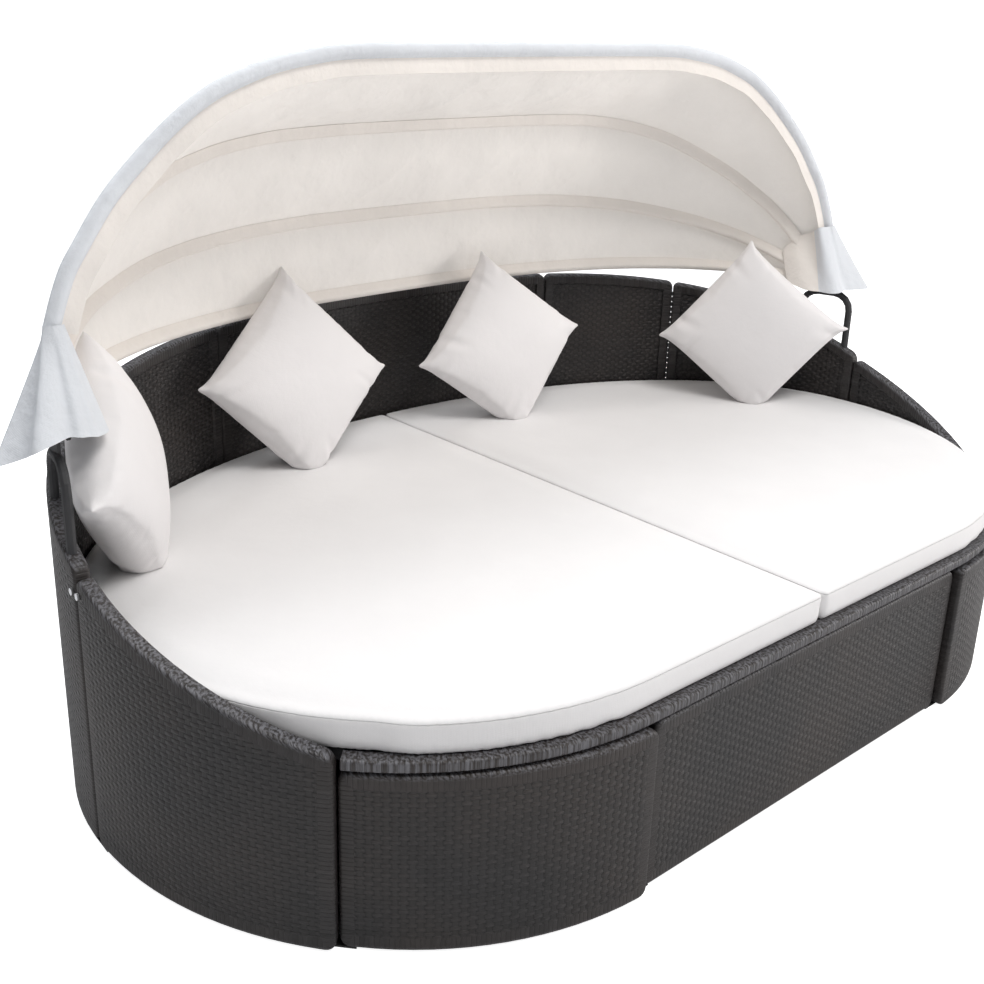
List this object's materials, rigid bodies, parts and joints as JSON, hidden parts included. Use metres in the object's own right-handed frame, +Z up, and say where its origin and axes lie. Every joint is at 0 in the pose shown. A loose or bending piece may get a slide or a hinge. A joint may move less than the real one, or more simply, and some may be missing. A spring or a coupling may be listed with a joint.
{
  "type": "outdoor daybed with canopy",
  "caption": "Oval outdoor daybed in dark flat-strip weave: sloped arms, raised curved backrest, split mattress, loose pillows and a fabric canopy on folding tube hoops.",
  "frame": {"origin": "on the ground under the middle of the bounding box", "axes": "+X along the length, to the right seen from the front, +Y towards the backrest, +Z up"},
  "size_m": [2.4463, 1.395, 1.3611],
  "materials": {
    "rattan": "woven flat synthetic strips, dull sheen",
    "frame_steel": "satin powder coat",
    "hoop_tube": "satin dark coat",
    "bolt_steel": "plain zinc",
    "foot_plastic": "moulded, fine grain",
    "deck_web": "woven webbing",
    "canvas": "plain weave canvas, matt",
    "cushion_cloth": "plain weave polyester, matt"
  },
  "bodies": {
    "daybed": {"front_panel_left": "rattan", "front_panel_middle": "rattan", "front_panel_right": "rattan", "arm_panel_left": "rattan", "arm_panel_right": "rattan", "back_corner_left": "rattan", "back_corner_right": "rattan", "back_panel_left": "rattan", "back_panel_middle": "rattan", "back_panel_right": "rattan", "seam_foot_1": "foot_plastic", "seam_foot_2": "foot_plastic", "seam_foot_3": "foot_plastic", "seam_foot_4": "foot_plastic", "seam_foot_5": "foot_plastic", "seam_foot_6": "foot_plastic", "seam_foot_7": "foot_plastic", "seam_foot_8": "foot_plastic", "seam_foot_9": "foot_plastic", "seam_foot_10": "foot_plastic", "front_rim": "rattan", "rim_batten": "foot_plastic", "front_ledger": "frame_steel", "centre_trestle": "frame_steel", "trestle_foot_1": "foot_plastic", "trestle_foot_2": "foot_plastic", "trestle_foot_3": "foot_plastic", "side_ledger_left": "frame_steel", "seat_frame_left": "frame_steel", "seat_deck_left": "deck_web", "arm_bolt_left": "bolt_steel", "corner_bolt_left": "bolt_steel", "canopy_bracket_left": "frame_steel", "hinge_pin_left": "bolt_steel", "hinge_nut_left": "bolt_steel", "canopy_flap_left": "canvas", "mattress_left": "cushion_cloth", "side_ledger_right": "frame_steel", "seat_frame_right": "frame_steel", "seat_deck_right": "deck_web", "arm_bolt_right": "bolt_steel", "corner_bolt_right": "bolt_steel", "canopy_bracket_right": "frame_steel", "hinge_pin_right": "bolt_steel", "hinge_nut_right": "bolt_steel", "canopy_flap_right": "canvas", "mattress_right": "cushion_cloth", "hoop_rear": "hoop_tube", "canopy_cloth_rear": "canvas", "pillow_1": "cushion_cloth", "pillow_2": "cushion_cloth", "pillow_3": "cushion_cloth", "pillow_4": "cushion_cloth"},
    "canopy_third": {"hoop_third": "hoop_tube", "canopy_cloth_middle": "canvas"},
    "canopy_second": {"hoop_second": "hoop_tube", "canopy_cloth_front": "canvas"},
    "canopy_front": {"hoop_front": "hoop_tube", "canopy_front_band": "canvas"}
  },
  "joints": [
    {"name": "third_hoop_hinge", "type": "hinge", "parent": "daybed", "child": "canopy_third", "pos_m": [0, 0.083, 0.736], "axis": [-1, 0, 0], "range_deg": [0, 15.7], "deforming": ["canopy_cloth_rear", "canopy_flap_left", "canopy_flap_right", "canopy_cloth_front"]},
    {"name": "second_hoop_hinge", "type": "hinge", "parent": "canopy_third", "child": "canopy_second", "pos_m": [0, 0.083, 0.736], "axis": [-1, 0, 0], "range_deg": [0, 22.2], "deforming": ["canopy_cloth_middle", "canopy_flap_left", "canopy_flap_right"]},
    {"name": "front_hoop_hinge", "type": "hinge", "parent": "canopy_second", "child": "canopy_front", "pos_m": [0, 0.083, 0.736], "axis": [-1, 0, 0], "range_deg": [0, 26.9], "deforming": ["canopy_cloth_front", "canopy_flap_left", "canopy_flap_right"]}
  ]
}
